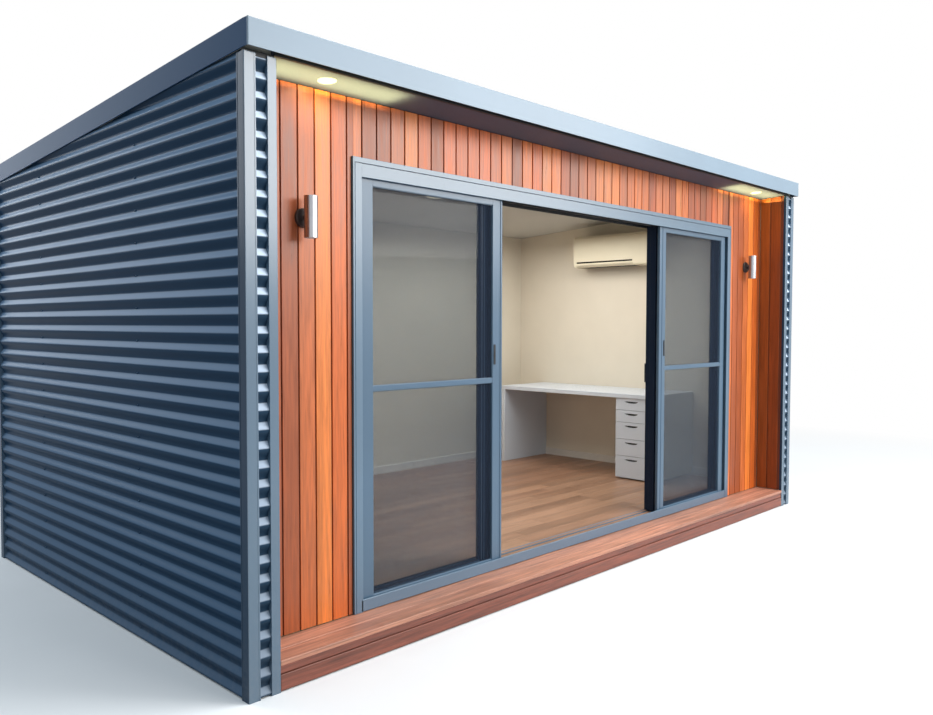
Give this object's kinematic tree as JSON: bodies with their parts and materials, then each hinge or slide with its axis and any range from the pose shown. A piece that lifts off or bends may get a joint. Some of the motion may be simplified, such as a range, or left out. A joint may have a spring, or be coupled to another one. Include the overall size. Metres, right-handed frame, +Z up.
{
  "type": "garden office pod",
  "caption": "Small garden office with a mono-pitch roof, corrugated steel sides, a recessed cedar front and a wide four-panel sliding door with insect screens.",
  "frame": {"origin": "centre of the overall plan box, at ground level", "axes": "+X along the front to the right as seen from outside, +Y from the front to the back, +Z up"},
  "size_m": [5.116, 3.106, 2.656],
  "materials": {
    "base_steel": "dull dark paint",
    "floor_timber": "sawn pine",
    "oak_floor": "satin oak boards",
    "wall_core": "framed and lined core",
    "corrugated_steel": "satin slate blue-grey paint",
    "folded_trim": "satin slate blue-grey paint",
    "cedar_boards": "oiled cedar",
    "soffit_lining": "painted sheet",
    "warm_light": "lit lens",
    "roof_steel": "satin paint",
    "step_timber": "oiled hardwood",
    "door_aluminium": "satin powder coat",
    "door_glass": "clear double glazing",
    "insect_mesh": "woven insect mesh",
    "white_lining": "cream painted plasterboard",
    "white_gloss": "gloss paint",
    "stainless_steel": "brushed",
    "light_diffuser": "opal",
    "appliance_plastic": "satin plastic",
    "white_laminate": "satin laminate"
  },
  "bodies": {
    "pod": {"side_rails": "base_steel", "floor_joists": "floor_timber", "threshold_beam": "floor_timber", "floor_deck": "floor_timber", "floor_boards": "oak_floor", "left_wall": "wall_core", "right_wall": "wall_core", "back_wall": "wall_core", "front_wall_left": "wall_core", "front_wall_right": "wall_core", "front_wall_header": "wall_core", "left_cladding": "corrugated_steel", "right_cladding": "corrugated_steel", "back_cladding": "corrugated_steel", "wall_end_strips": "corrugated_steel", "front_corner_trims": "folded_trim", "back_corner_trims": "folded_trim", "reveal_trims": "folded_trim", "timber_left": "cedar_boards", "timber_right": "cedar_boards", "timber_header": "cedar_boards", "reveal_boards": "cedar_boards", "soffit": "soffit_lining", "soffit_downlights": "warm_light", "roof_panel": "roof_steel", "front_fascia": "folded_trim", "barges": "folded_trim", "rear_gutter": "folded_trim", "downpipe": "folded_trim", "step_tread": "step_timber", "step_riser": "step_timber", "step_blocks_row": "floor_timber", "door_sill": "door_aluminium", "sill_tracks": "door_aluminium", "door_head": "door_aluminium", "head_guides": "door_aluminium", "door_jambs": "door_aluminium", "fixed_frames": "door_aluminium", "fixed_glass": "door_glass", "inner_linings": "white_lining", "ceiling_lining": "white_lining", "skirting": "white_gloss", "wall_lights": "stainless_steel", "ceiling_light": "light_diffuser", "air_conditioner": "appliance_plastic", "desk_top": "white_laminate", "desk_end_panel": "white_laminate", "drawer_unit": "white_laminate"},
    "left_leaf": {"left_leaf_frame": "door_aluminium", "left_leaf_glass": "door_glass"},
    "right_leaf": {"right_leaf_frame": "door_aluminium", "right_leaf_glass": "door_glass"},
    "left_screen": {"left_screen_frame": "door_aluminium", "left_screen_mesh": "insect_mesh"},
    "right_screen": {"right_screen_frame": "door_aluminium", "right_screen_mesh": "insect_mesh"}
  },
  "joints": [
    {"name": "left_leaf_slide", "type": "slide", "parent": "pod", "child": "left_leaf", "axis": [1, 0, 0], "range_m": [0, 0.842]},
    {"name": "right_leaf_slide", "type": "slide", "parent": "pod", "child": "right_leaf", "axis": [-1, 0, 0], "range_m": [0, 0.842]},
    {"name": "left_screen_slide", "type": "slide", "parent": "pod", "child": "left_screen", "axis": [1, 0, 0], "range_m": [0, 0.812]},
    {"name": "right_screen_slide", "type": "slide", "parent": "pod", "child": "right_screen", "axis": [-1, 0, 0], "range_m": [0, 0.837]}
  ]
}
